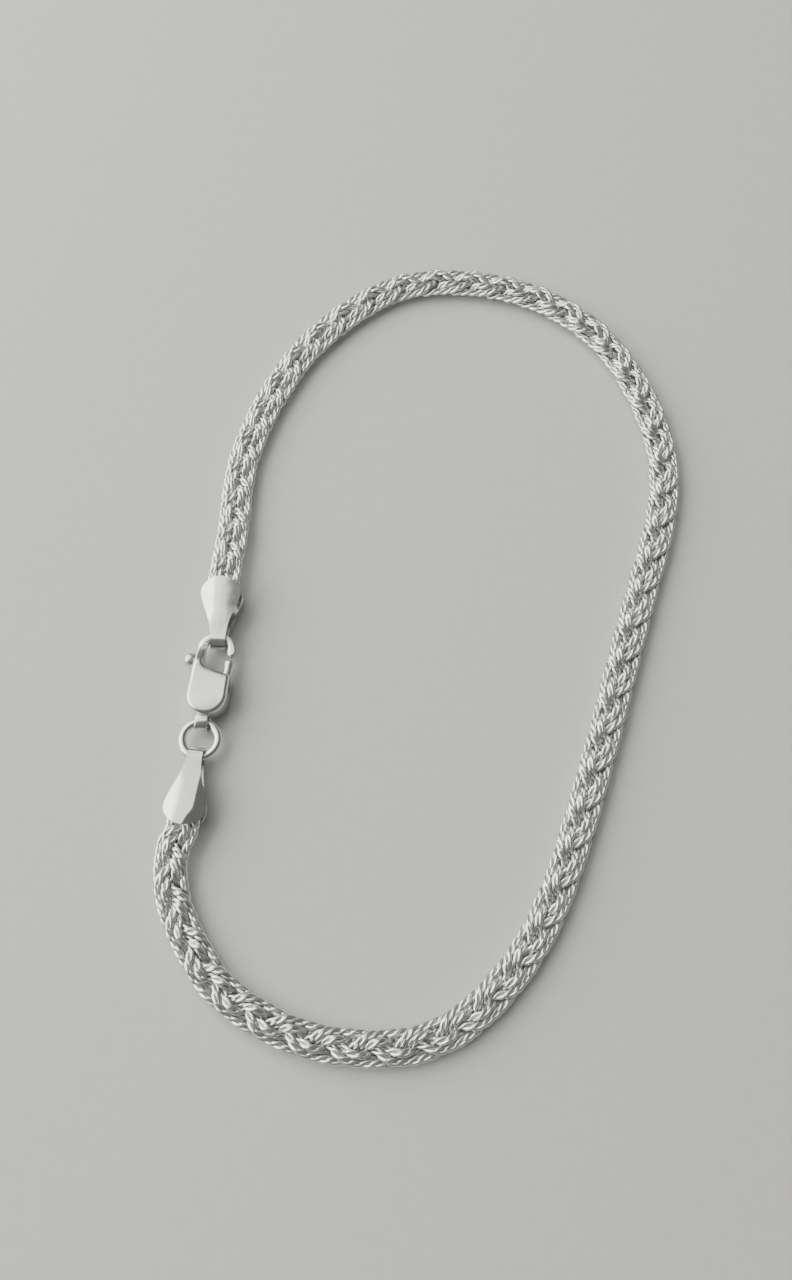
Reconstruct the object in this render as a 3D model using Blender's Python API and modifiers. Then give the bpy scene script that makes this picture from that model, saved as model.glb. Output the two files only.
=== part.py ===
"""Braided chain bracelet with a lobster clasp, lying closed on a table.

Metres, +Z up, +Y along the loop's longer way. Lengths below are in millimetres and MM turns them
into metres. The braid is three strands, and each strand is a pair of fine chains drawn as one band.
"""
import math

import bmesh
import bpy
from mathutils import Matrix, Vector

MM = 0.001

# Gaps between neighbouring pieces
FIT_GAP = 0.25
BAR_GAP = 0.20
SOLDER_GAP = 0.55           # from the solder to the slanting strands' ends
TABLE_GAP = 0.02            # under the braid's lowest points

# Braid
CHAIN_PITCH = 0.70          # between the two chains of a strand
STRAND_THICKNESS = 0.38
STRAND_WIDTH = CHAIN_PITCH + STRAND_THICKNESS
PLAIT_LENGTH = 10.4         # a strand's way from one edge across and back
PLAIT_SWING = 0.78          # a strand's middle, from the braid's middle line to its edge
PLAIT_RISE = 0.70           # the same upwards
STEPS_PER_PLAIT = 12
EDGE_FLATNESS = 0.158       # how long a strand runs along the edge before it turns in
CROSSING_ROLL = 1.0         # radians that a strand tips to slide under its neighbour
# Height of a strand over one plait: waves in each plait, share of PLAIT_RISE
HEIGHT_WAVES = [
    {"waves": 2, "share": 0.80},
    {"waves": 4, "share": 0.155},
    {"waves": 6, "share": 0.13},
]
RISE_IN_TAB = 0.95          # share of the height that is left where the tab pinches the braid
SETTLE_LENGTH = 9.0         # over which the braid comes down from a tab to the table

# Tabs: a strip folded over a bar and soldered round the braid's end
TAB_LENGTH = 6.7
TAB_WIDTH = 3.45
LEAF_THICKNESS = 0.32
HOOK_BAR = 0.75             # the clasp's hook, seen from above
HOOK_THICKNESS = 0.90
FOLD_ROOM = 0.08            # inside the fold, beyond the gap round the hook
FOLD_RADIUS = HOOK_THICKNESS / 2 + BAR_GAP + FOLD_ROOM + LEAF_THICKNESS      # outer
TAB_MOUTH_HEIGHT = 3.0
TAB_SOLDER_WIDTH = 1.1
TAB_SOLDER_LENGTH = 1.7
TAB_MOUTH_DEPTH = 2.3
LEAF_EDGE = 0.10
OVERCUT = 0.5               # how far a cut's own outline runs past what it cuts
# Half of a tab's outline seen from above, from the fold to the round end
TAB_OUTLINE = [
    {"along": 0.00, "half_width": 0.385},
    {"along": 0.16, "half_width": 0.41},
    {"along": 0.31, "half_width": 0.48},
    {"along": 0.45, "half_width": 0.63},
    {"along": 0.60, "half_width": 0.83},
    {"along": 0.72, "half_width": 0.97},
    {"along": 0.80, "half_width": 1.00},
    {"along": 0.88, "half_width": 0.90},
    {"along": 0.95, "half_width": 0.62},
    {"along": 0.99, "half_width": 0.28},
]

# Jump ring
RING_DIAMETER = 3.80
RING_WIRE = 0.72
RING_RADIUS = (RING_DIAMETER - RING_WIRE) / 2

# Clasp body, from the middle of its eye; the hook is at the far end
CLASP_THICKNESS = 2.40
CLASP_LENGTH = 8.20
CLASP_WIDTH = 3.50
HOOK_INNER_WIDTH = 1.96
HOOK_SQUARENESS = 2.8       # 2 is a round opening
HOOK_ASIDE = 0.17           # the hook lies this far beside the body's middle
HOOK_TIP = 6.12
HOOK_THINNING = {"start": 6.05, "length": 0.95}
CLASP_FLOOR = 0.48          # the round bottom's lowest point
CLASP_SHOULDER = 4.40
SHOULDER_RADIUS = 0.70      # where the shoulder turns up into the spine
CLASP_EDGE = 0.28
EYE_WALL = 0.28
EYE_WIDTH = 0.90
BODY_MIDDLE = 0.12          # the body lies this far beside its eye

# Clasp lever
LEVER_THICKNESS = 0.90
LEVER_PIVOT = (0.15, 2.40)
LEVER_PIN_RADIUS = 0.30
LEVER_PIN_GAP = 0.15
LEVER_BOSS_WALL = 0.42
LEVER_ARM_RADIUS = 0.36
LEVER_KNOB = (-1.92, 5.60)
LEVER_KNOB_RADIUS = 0.54
LEVER_ELBOW = (1.42, 4.20)
LEVER_TIP = (1.52, 5.38)
LEVER_TIP_RADIUS = 0.42

# Where the closed bracelet lies: the ring's middle, and the way that each piece points
RING_PLACE = (-19.94, -11.38)
RING_END_HEADING = 82.5
CLASP_HEADING = 85.0
HOOKED_END_HEADING = 88.5

# The braid's chosen points on the table, from the hooked end round to the ring end
BRAID_ROUTE = [
    (-18.2, 8.4), (-18.0, 12.3), (-17.5, 16.4), (-15.6, 22.1), (-12.2, 28.2), (-7.5, 33.0),
    (-2.6, 35.9), (2.8, 36.5), (8.3, 35.6), (13.2, 33.2), (17.4, 29.2), (20.4, 23.4),
    (21.8, 17.8), (21.8, 12.8), (20.6, 7.6), (18.6, 1.6), (16.2, -6.0), (14.2, -12.3),
    (11.9, -19.1), (9.6, -24.9), (6.6, -29.9), (2.6, -33.9), (-1.3, -35.8), (-5.6, -36.2),
    (-9.9, -35.6), (-13.7, -34.1), (-17.4, -31.5), (-20.1, -27.6), (-21.5, -24.1), (-21.6, -20.8),
]

MID_HEIGHT = CLASP_THICKNESS / 2
HOLD_RADIUS = FOLD_RADIUS - LEAF_THICKNESS
BRAID_HEIGHT = PLAIT_RISE + STRAND_THICKNESS / 2 + TABLE_GAP


def new_collection(name):
    collection = bpy.data.collections.new(name)
    bpy.context.scene.collection.children.link(collection)
    return collection


def new_material(name, color, roughness):
    material = bpy.data.materials.new(name)
    material.use_nodes = True
    shader = material.node_tree.nodes["Principled BSDF"]
    shader.inputs["Base Color"].default_value = (*color, 1.0)
    shader.inputs["Metallic"].default_value = 1.0
    shader.inputs["Roughness"].default_value = roughness
    return material


def unit(heading):
    """The direction of a heading in degrees, on the table."""
    return Vector((math.cos(math.radians(heading)), math.sin(math.radians(heading))))


def placed(origin, heading, x, y):
    """The table point at x across and y along a piece that points along heading."""
    along = unit(heading)
    across = Vector((along.y, -along.x))
    return Vector(origin) + across * x + along * y


def arc(cx, cy, radius, start, end, steps):
    """Points on an arc, in degrees."""
    turns = (math.radians(start + (end - start) * i / steps) for i in range(steps + 1))
    return [(cx + radius * math.cos(t), cy + radius * math.sin(t)) for t in turns]


def smooth_path(points, per_span):
    """A smooth line through points, which may have 2 or 3 coordinates."""
    knots = [Vector(p) for p in points]
    knots = [2 * knots[0] - knots[1], *knots, 2 * knots[-1] - knots[-2]]
    path = []
    for a, b, c, d in zip(knots, knots[1:], knots[2:], knots[3:]):
        for i in range(per_span):
            t = i / per_span
            path.append(0.5 * (2 * b + (c - a) * t + (2 * a - 5 * b + 4 * c - d) * t * t
                               + (3 * b - a - 3 * c + d) * t ** 3))
    return [*path, knots[-2]]


def link(mesh_or_curve, name, collection):
    thing = bpy.data.objects.new(name, mesh_or_curve)
    collection.objects.link(thing)
    return thing


def to_mesh(thing):
    """Makes a curve object a mesh object of the same name, its caps welded."""
    bpy.context.view_layer.update()
    evaluated = thing.evaluated_get(bpy.context.evaluated_depsgraph_get())
    mesh = bpy.data.meshes.new_from_object(evaluated)
    name, matrix, collection = thing.name, thing.matrix_world.copy(), thing.users_collection[0]
    bpy.data.objects.remove(thing)
    work = bmesh.new()
    work.from_mesh(mesh)
    bmesh.ops.remove_doubles(work, verts=work.verts, dist=0.002 * MM)
    bmesh.ops.recalc_face_normals(work, faces=work.faces)
    work.to_mesh(mesh)
    work.free()
    result = link(mesh, name, collection)
    result.matrix_world = matrix
    return result


def slab(name, outline, low, high, collection, across=False):
    """A flat outline in millimetres made thick from low to high, upwards or else across along X."""
    curve = bpy.data.curves.new(name, "CURVE")
    curve.dimensions, curve.fill_mode = "2D", "BOTH"
    curve.extrude = (high - low) / 2
    spline = curve.splines.new("POLY")
    spline.points.add(len(outline) - 1)
    for point, (x, y) in zip(spline.points, outline):
        point.co = (x, y, 0, 1)
    spline.use_cyclic_u = True
    thing = to_mesh(link(curve, name, collection))
    turn = Matrix(((0, 0, 1, 0), (1, 0, 0, 0), (0, 1, 0, 0), (0, 0, 0, 1))) if across else Matrix()
    lift = Matrix.Translation((0, 0, (low + high) / 2))
    thing.data.transform(Matrix.Scale(MM, 4) @ turn @ lift)
    return thing


def rounded(thing, width, segments=2):
    """Rounds the sharp edges of a slab."""
    bevel = thing.modifiers.new("rounded", "BEVEL")
    bevel.width, bevel.segments = width * MM, segments
    bevel.limit_method, bevel.angle_limit = "ANGLE", math.radians(60)
    bevel.use_clamp_overlap = True
    apply_modifiers(thing)


def apply_modifiers(thing):
    bpy.context.view_layer.update()
    evaluated = thing.evaluated_get(bpy.context.evaluated_depsgraph_get())
    old, thing.data = thing.data, bpy.data.meshes.new_from_object(evaluated)
    bpy.data.meshes.remove(old)
    thing.modifiers.clear()


def combine(thing, other, operation):
    """Cuts, joins or intersects thing with other, which is used up."""
    boolean = thing.modifiers.new("combine", "BOOLEAN")
    boolean.operation, boolean.object, boolean.solver = operation, other, "EXACT"
    apply_modifiers(thing)
    bpy.data.objects.remove(other)


def cylinder(name, radius, depth, place, turn, segments, collection):
    mesh = bpy.data.meshes.new(name)
    work = bmesh.new()
    bmesh.ops.create_cone(work, cap_ends=True, segments=segments, radius1=radius * MM,
                          radius2=radius * MM, depth=depth * MM)
    work.to_mesh(mesh)
    work.free()
    thing = link(mesh, name, collection)
    mesh.transform(Matrix.Translation(Vector(place) * MM) @ turn)
    return thing


def finish(thing, material, parent):
    thing.data.materials.clear()
    thing.data.materials.append(material)
    thing.data.shade_smooth()
    thing.data.set_sharp_from_angle(angle=math.radians(35))
    thing.parent = parent
    return thing


def tab_side(inner):
    """A tab's side outline, or with inner that of the space between its leaves."""
    end = FOLD_RADIUS - TAB_LENGTH
    skin = LEAF_THICKNESS if inner else 0.0
    radius = FOLD_RADIUS - skin
    slope = (TAB_MOUTH_HEIGHT - MID_HEIGHT - FOLD_RADIUS) / -end
    top = MID_HEIGHT + FOLD_RADIUS - skin - slope * (end - OVERCUT)
    low = skin + (MID_HEIGHT - FOLD_RADIUS) * OVERCUT / end
    return [*arc(0, MID_HEIGHT, radius, -90, 90, 10), (end - OVERCUT, top), (end - OVERCUT, low)]


def tab_plan():
    """A tab's outline from above, its fold at +Y."""
    right = [(row["half_width"] * TAB_WIDTH / 2, FOLD_RADIUS - row["along"] * TAB_LENGTH)
             for row in TAB_OUTLINE]
    right.append((0, FOLD_RADIUS - TAB_LENGTH))
    right = [tuple(p) for p in smooth_path(right, 2)]
    beyond = [(right[0][0], FOLD_RADIUS + 1)]
    half = beyond + right
    return half + [(-x, y) for x, y in reversed(half[:-1])]


def make_tab(name, material, parts, cutters):
    """A folded tab whose held bar runs along X through its origin's fold."""
    tab = slab(name, tab_side(False), -TAB_WIDTH, TAB_WIDTH, parts, across=True)
    combine(tab, slab(name + "_plan", tab_plan(), -1, 6, cutters), "INTERSECT")
    rounded(tab, LEAF_EDGE, 1)
    combine(tab, slab(name + "_space", tab_side(True), -TAB_WIDTH, TAB_WIDTH, cutters, across=True),
            "DIFFERENCE")
    start = FOLD_RADIUS - TAB_LENGTH + TAB_MOUTH_DEPTH
    overlap = LEAF_THICKNESS / 2
    solder = [(start, overlap), (start + TAB_SOLDER_LENGTH, overlap + 0.1),
              (start + TAB_SOLDER_LENGTH, MID_HEIGHT + FOLD_RADIUS - overlap),
              (start, MID_HEIGHT + FOLD_RADIUS)]
    half = TAB_SOLDER_WIDTH / 2
    combine(tab, slab(name + "_solder", solder, -half, half, cutters, across=True), "UNION")
    return finish(tab, material, None)


def hook_opening(steps):
    """The half of the hook's opening at its arch, about the middle of its width."""
    inner, power = HOOK_INNER_WIDTH / 2, 2 / HOOK_SQUARENESS
    points = []
    for i in range(steps + 1):
        x, y = math.cos(math.pi * i / steps), math.sin(math.pi * i / steps)
        points.append((math.copysign(inner * abs(x) ** power, x), inner * max(0.0, y) ** power))
    return points


def sag(half_chord, radius, power=2.0):
    """How far a curved bar's edge lies back at half_chord from its middle."""
    return radius - (radius ** power - half_chord ** power) ** (1 / power)


def clasp_outline():
    """The clasp body's outline from above: round bottom, spine, hook and its opening."""
    half = CLASP_WIDTH / 2
    m = BODY_MIDDLE
    arch_y = CLASP_LENGTH - half - HOOK_BAR / 8
    inner = HOOK_INNER_WIDTH / 2
    inner_x = m + HOOK_ASIDE
    top = CLASP_LENGTH - HOOK_BAR - inner
    side = [(m + half, CLASP_SHOULDER - 0.35)]
    bottom = arc(m, CLASP_FLOOR + half, half, 0, -180, 16)
    arch = [(inner_x + (x - m) * (inner + HOOK_BAR) / half, y + HOOK_BAR / 8)
            for x, y in arc(m, arch_y, half, 165, 0, 14)]
    tip = [(inner_x + inner + HOOK_BAR, HOOK_TIP + 0.06), (inner_x + inner + 0.1, HOOK_TIP)]
    opening = [(inner_x + x, top + y) for x, y in hook_opening(12)]
    corner = arc(inner_x - inner + SHOULDER_RADIUS, CLASP_SHOULDER + 0.25 + SHOULDER_RADIUS,
                 SHOULDER_RADIUS, 180, 258, 5)
    shoulder = [(m + half - 0.6, CLASP_SHOULDER), (m + half - 0.15, CLASP_SHOULDER - 0.12)]
    return side + bottom + arch + tip + opening + corner + shoulder


def thin_hook(thing):
    """Narrows the clasp's thickness from its body to its hook, whose free end is thin all over."""
    length = HOOK_THINNING["length"]
    for vertex in thing.data.vertices:
        free_end = vertex.co.x / MM > BODY_MIDDLE + HOOK_ASIDE
        start = HOOK_TIP - length if free_end else HOOK_THINNING["start"]
        t = (vertex.co.y / MM - start) / length
        t = min(1.0, max(0.0, t))
        share = 1 - (1 - HOOK_THICKNESS / CLASP_THICKNESS) * t * t * (3 - 2 * t)
        vertex.co.z = MID_HEIGHT * MM + (vertex.co.z - MID_HEIGHT * MM) * share


def make_clasp_body(material, parts, cutters):
    body = slab("clasp_body", clasp_outline(), 0, CLASP_THICKNESS, parts)
    rounded(body, CLASP_EDGE)
    thin_hook(body)
    sideways = Matrix.Rotation(math.radians(90), 4, "Y")
    eye_radius = RING_WIRE / 2 + BAR_GAP + sag(EYE_WIDTH / 2, RING_RADIUS) + EYE_WALL
    combine(body, cylinder("eye", eye_radius, EYE_WIDTH, (0, 0, MID_HEIGHT), sideways, 24, cutters),
            "UNION")
    hole = cylinder("eye_hole", eye_radius - EYE_WALL, EYE_WIDTH * 2, (0, 0, MID_HEIGHT), sideways,
                    20, cutters)
    combine(body, hole, "DIFFERENCE")
    px, py = LEVER_PIVOT
    kx, ky = LEVER_KNOB
    boss = LEVER_PIN_RADIUS + LEVER_PIN_GAP + LEVER_BOSS_WALL + FIT_GAP
    room = LEVER_THICKNESS / 2 + FIT_GAP
    knob_room = LEVER_KNOB_RADIUS + FIT_GAP
    slot = [*arc(px, py, boss, 0, -150, 10),
            (kx - 1.3, py + 1.5), (kx - 1.3, ky + knob_room), (kx + 0.7, ky + knob_room),
            (kx + 0.8, ky - 0.3), (px - 0.6, CLASP_SHOULDER + 0.5), (px - 0.6, HOOK_TIP - 0.2),
            (px + 2.9, HOOK_TIP - 0.2), (px + 2.9, py + 1.0)]
    combine(body, slab("lever_slot", slot, MID_HEIGHT - room, MID_HEIGHT + room, cutters),
            "DIFFERENCE")
    pin = cylinder("lever_pin", LEVER_PIN_RADIUS, 2 * room + 0.4, (px, py, MID_HEIGHT),
                   Matrix(), 20, cutters)
    combine(body, pin, "UNION")
    return finish(body, material, None)


def rod_outline(start, end, r_start, r_end, steps=8):
    """A rod from above, from start to end with round ends."""
    way = math.degrees(math.atan2(end[1] - start[1], end[0] - start[0]))
    return (arc(*start, r_start, way + 90, way + 270, steps)
            + arc(*end, r_end, way - 90, way + 90, steps))


def make_lever(material, parts, cutters):
    """The lever, a bent rocker whose origin is on its pin."""
    px, py = LEVER_PIVOT
    bore = LEVER_PIN_RADIUS + LEVER_PIN_GAP
    half = LEVER_THICKNESS / 2

    def rod(name, a, b, ra, rb, thin, collection):
        a, b = (a[0] - px, a[1] - py), (b[0] - px, b[1] - py)
        return slab(name, rod_outline(a, b, ra, rb), thin - half, half - thin, collection)

    lever = cylinder("clasp_lever", bore + LEVER_BOSS_WALL, LEVER_THICKNESS, (0, 0, 0), Matrix(), 28,
                     parts)
    arm = LEVER_ARM_RADIUS
    combine(lever, rod("arm", LEVER_PIVOT, LEVER_KNOB, arm, arm, 0.04, cutters), "UNION")
    combine(lever, rod("elbow", LEVER_PIVOT, LEVER_ELBOW, arm, arm, 0.05, cutters), "UNION")
    combine(lever, rod("gate", LEVER_ELBOW, LEVER_TIP, arm, LEVER_TIP_RADIUS, 0.02, cutters), "UNION")
    knob = cylinder("knob", LEVER_KNOB_RADIUS, LEVER_THICKNESS - 0.02,
                    ((LEVER_KNOB[0] - px), (LEVER_KNOB[1] - py), 0), Matrix(), 20, cutters)
    combine(lever, knob, "UNION")
    combine(lever, cylinder("bore", bore, 2 * LEVER_THICKNESS, (0, 0, 0), Matrix(), 20, cutters),
            "DIFFERENCE")
    return finish(lever, material, None)


def make_ring(material, parts):
    mesh = bpy.data.meshes.new("jump_ring")
    ring = link(mesh, "jump_ring", parts)
    profile = bpy.data.curves.new("ring_path", "CURVE")
    profile.dimensions = "3D"
    profile.bevel_depth, profile.bevel_resolution = RING_WIRE / 2 * MM, 2
    spline = profile.splines.new("POLY")
    points = arc(0, 0, RING_RADIUS, 0, 360, 28)[:-1]
    spline.points.add(len(points) - 1)
    for point, (x, y) in zip(spline.points, points):
        point.co = (x * MM, y * MM, 0, 1)
    spline.use_cyclic_u = True
    bpy.data.objects.remove(ring)
    return finish(to_mesh(link(profile, "jump_ring", parts)), material, None)


def braid_line(start, start_heading, end, end_heading):
    """The braid's middle line: evenly spaced table points from one tab's solder to the other's."""
    lead = TAB_MOUTH_DEPTH
    first = [Vector(start), Vector(start) + unit(start_heading) * lead]
    last = [Vector(end) - unit(end_heading) * lead, Vector(end)]
    fine = smooth_path([*first, *(Vector(p) for p in BRAID_ROUTE), *last], 24)
    lengths = [0.0]
    for a, b in zip(fine, fine[1:]):
        lengths.append(lengths[-1] + (b - a).length)
    steps = round(lengths[-1] / PLAIT_LENGTH * STEPS_PER_PLAIT)
    line, k = [], 0
    for i in range(steps + 1):
        at = lengths[-1] * i / steps
        while k < len(fine) - 2 and lengths[k + 1] < at:
            k += 1
        t = (at - lengths[k]) / (lengths[k + 1] - lengths[k])
        line.append(fine[k].lerp(fine[k + 1], t))
    return line, lengths[-1]


def strand_points(line, length, turn):
    """Each point's place and roll for the strand that starts turn of a plait along."""
    reach = TAB_LENGTH - FOLD_RADIUS
    mouth = MID_HEIGHT + (TAB_MOUTH_HEIGHT / 2 - MID_HEIGHT) * (1 - TAB_MOUTH_DEPTH / 2 / reach)
    points = []
    for i, here in enumerate(line):
        before, after = line[max(0, i - 1)], line[min(len(line) - 1, i + 1)]
        ahead = (after - before).normalized()
        across = Vector((ahead.y, -ahead.x))
        at = length * i / (len(line) - 1)
        from_end = min(at, length - at)
        t = min(1.0, max(0.0, (from_end - TAB_MOUTH_DEPTH * 0.6) / SETTLE_LENGTH))
        settled = t * t * (3 - 2 * t)
        phase = 2 * math.pi * (at / PLAIT_LENGTH + turn)
        swing = math.sin(phase) + EDGE_FLATNESS * math.sin(3 * phase)
        swing *= PLAIT_SWING / (1 - EDGE_FLATNESS)
        rise = -sum(row["share"] * math.sin(row["waves"] * phase) for row in HEIGHT_WAVES)
        rise *= PLAIT_RISE * (RISE_IN_TAB + (1 - RISE_IN_TAB) * settled)
        height = mouth + (BRAID_HEIGHT - mouth) * settled + rise
        spot = here + across * swing
        points.append(((spot.x, spot.y, height), CROSSING_ROLL * math.cos(3 * phase)))
    return points


def make_strand(name, points, profile, material, parts):
    curve = bpy.data.curves.new(name, "CURVE")
    curve.dimensions, curve.twist_mode = "3D", "Z_UP"
    curve.bevel_mode, curve.bevel_object, curve.use_fill_caps = "OBJECT", profile, True
    spline = curve.splines.new("POLY")
    spline.points.add(len(points) - 1)
    for point, (place, roll) in zip(spline.points, points):
        point.co = (*(c * MM for c in place), 1)
        point.tilt = roll
    return finish(to_mesh(link(curve, name, parts)), material, None)


def strand_profile(cutters):
    """A band's cross-section: two half rounds and flat sides."""
    curve = bpy.data.curves.new("strand_profile", "CURVE")
    curve.dimensions = "2D"
    radius = STRAND_THICKNESS / 2
    side = CHAIN_PITCH / 2
    outline = arc(side, 0, radius, -90, 90, 3) + arc(-side, 0, radius, 90, 270, 3)
    spline = curve.splines.new("POLY")
    spline.points.add(len(outline) - 1)
    for point, (x, y) in zip(spline.points, outline):
        point.co = (x * MM, y * MM, 0, 1)
    spline.use_cyclic_u = True
    return link(curve, "strand_profile", cutters)


def put(thing, place, heading, height=0.0):
    """Sets a piece's origin on the table with its +Y along heading."""
    thing.location = (place[0] * MM, place[1] * MM, height * MM)
    thing.rotation_euler = (0, 0, math.radians(heading - 90))


def main():
    for thing in list(bpy.data.objects):
        bpy.data.objects.remove(thing)
    parts, cutters = new_collection("bracelet"), new_collection("cutters")
    tab_metal = new_material("polished_tab_silver", (0.86, 0.86, 0.83), 0.22)
    clasp_metal = new_material("polished_clasp_silver", (0.85, 0.85, 0.83), 0.20)
    lever_metal = new_material("lever_silver", (0.80, 0.80, 0.77), 0.28)
    chain_metal = new_material("chain_silver", (0.84, 0.84, 0.81), 0.26)

    ring_end = make_tab("ring_end_tab", tab_metal, parts, cutters)
    hooked_end = make_tab("hooked_end_tab", tab_metal, parts, cutters)
    body = make_clasp_body(clasp_metal, parts, cutters)
    lever = make_lever(lever_metal, parts, cutters)
    ring = make_ring(tab_metal, parts)

    put(ring, RING_PLACE, CLASP_HEADING, MID_HEIGHT)
    eye = placed(RING_PLACE, CLASP_HEADING, 0, RING_RADIUS)
    put(body, eye, CLASP_HEADING)
    put(lever, placed(eye, CLASP_HEADING, *LEVER_PIVOT), CLASP_HEADING, MID_HEIGHT)

    fold_half = TAB_OUTLINE[0]["half_width"] * TAB_WIDTH / 2
    bar_slack = HOLD_RADIUS - RING_WIRE / 2 - BAR_GAP - sag(fold_half, RING_RADIUS)
    ring_bar = placed(RING_PLACE, RING_END_HEADING, 0, -RING_RADIUS)
    ring_tab_place = placed(ring_bar, RING_END_HEADING, 0, -bar_slack)
    put(ring_end, ring_tab_place, RING_END_HEADING)
    reach = math.sqrt(HOLD_RADIUS ** 2 - (HOOK_THICKNESS / 2 + BAR_GAP) ** 2)
    hook_slack = reach - HOOK_BAR / 2 - sag(fold_half, HOOK_INNER_WIDTH / 2, HOOK_SQUARENESS)
    hook_bar = placed(eye, CLASP_HEADING, BODY_MIDDLE + HOOK_ASIDE, CLASP_LENGTH - HOOK_BAR / 2)
    hooked_place = placed(hook_bar, HOOKED_END_HEADING, 0, hook_slack)
    put(hooked_end, hooked_place, HOOKED_END_HEADING + 180)

    inside = TAB_LENGTH - FOLD_RADIUS - TAB_MOUTH_DEPTH + SOLDER_GAP
    start = placed(hooked_place, HOOKED_END_HEADING, 0, inside)
    end = placed(ring_tab_place, RING_END_HEADING, 0, -inside)
    line, length = braid_line(start, HOOKED_END_HEADING, end, RING_END_HEADING)
    profile = strand_profile(cutters)
    strands = [make_strand(f"strand_{i + 1}", strand_points(line, length, i / 3), profile,
                           chain_metal, parts) for i in range(3)]

    bracelet = bpy.data.objects.new("bracelet_middle", None)
    parts.objects.link(bracelet)
    pieces = [ring_end, hooked_end, body, lever, ring, *strands]
    bpy.context.view_layer.update()
    corners = [p.matrix_world @ v.co for p in pieces for v in p.data.vertices]
    middle = [(min(c[i] for c in corners) + max(c[i] for c in corners)) / 2 for i in (0, 1)]
    for piece in pieces:
        piece.parent = bracelet
    bracelet.location = (-middle[0], -middle[1], 0)
    for cutter in cutters.objects:
        cutter.hide_render, cutter.display_type = True, "WIRE"


main()
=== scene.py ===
"""Looks of a braided chain bracelet with a lobster clasp, lying closed on a pale table.

Lengths are in millimetres until they reach a mesh, which is in metres in the row frame: +Z up,
+Y along the loop's longer way.
"""

import logging
import math
from collections.abc import Sequence
from dataclasses import dataclass, field
from enum import Enum

import bmesh
import bpy
import numpy as np
from mathutils import Matrix, Vector, noise


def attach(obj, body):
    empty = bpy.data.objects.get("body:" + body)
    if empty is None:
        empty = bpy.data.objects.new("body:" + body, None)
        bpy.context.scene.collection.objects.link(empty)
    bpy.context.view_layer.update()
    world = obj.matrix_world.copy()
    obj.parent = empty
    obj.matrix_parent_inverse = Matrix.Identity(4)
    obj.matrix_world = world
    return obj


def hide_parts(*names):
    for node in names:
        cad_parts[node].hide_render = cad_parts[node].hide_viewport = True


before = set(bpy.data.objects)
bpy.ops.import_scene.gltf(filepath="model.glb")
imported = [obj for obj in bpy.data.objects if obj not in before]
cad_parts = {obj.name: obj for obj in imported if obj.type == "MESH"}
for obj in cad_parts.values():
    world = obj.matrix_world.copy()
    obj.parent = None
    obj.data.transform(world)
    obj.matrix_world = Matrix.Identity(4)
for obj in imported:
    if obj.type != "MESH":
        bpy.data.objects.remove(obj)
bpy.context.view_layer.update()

MM = 0.001
BALL_END = 0.985  # how far a rod's rings run towards its poles
LOG = logging.getLogger("bracelet")
Point = tuple[float, float]
Tone = tuple[float, float, float]


# Shader maths


class Value:
    """A shader number that Python's operators work on."""

    def __init__(self, shader: "Shader", socket: bpy.types.NodeSocket) -> None:
        """Keeps the node tree and the output socket."""
        self.shader = shader
        self.socket = socket

    def _math(self, operation: str, first: "Value | float", second: "Value | float") -> "Value":
        """Adds a Math node.

        Args:
            operation: The Math node's operation.
            first: Its first input.
            second: Its second input.

        Returns:
            The node's result.
        """
        node = self.shader.node("ShaderNodeMath", {"operation": operation}, {0: first, 1: second})
        return Value(self.shader, node.outputs[0])

    def __add__(self, other: "Value | float") -> "Value":
        """self + other."""
        return self._math("ADD", self, other)

    def __radd__(self, other: float) -> "Value":
        """other + self."""
        return self._math("ADD", other, self)

    def __sub__(self, other: "Value | float") -> "Value":
        """self - other."""
        return self._math("SUBTRACT", self, other)

    def __rsub__(self, other: float) -> "Value":
        """other - self."""
        return self._math("SUBTRACT", other, self)

    def __mul__(self, other: "Value | float") -> "Value":
        """self * other."""
        return self._math("MULTIPLY", self, other)

    def __rmul__(self, other: float) -> "Value":
        """other * self."""
        return self._math("MULTIPLY", other, self)

    def ramp(self, low: float, high: float) -> "Value":
        """0 below low, 1 above high and smooth between them.

        Args:
            low: Where the ramp starts.
            high: Where it ends.

        Returns:
            The ramp's height.
        """
        node = self.shader.node("ShaderNodeMapRange", {"interpolation_type": "SMOOTHSTEP"},
                                {0: self, 1: low, 2: high, 3: 0.0, 4: 1.0})
        return Value(self.shader, node.outputs[0])


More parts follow.
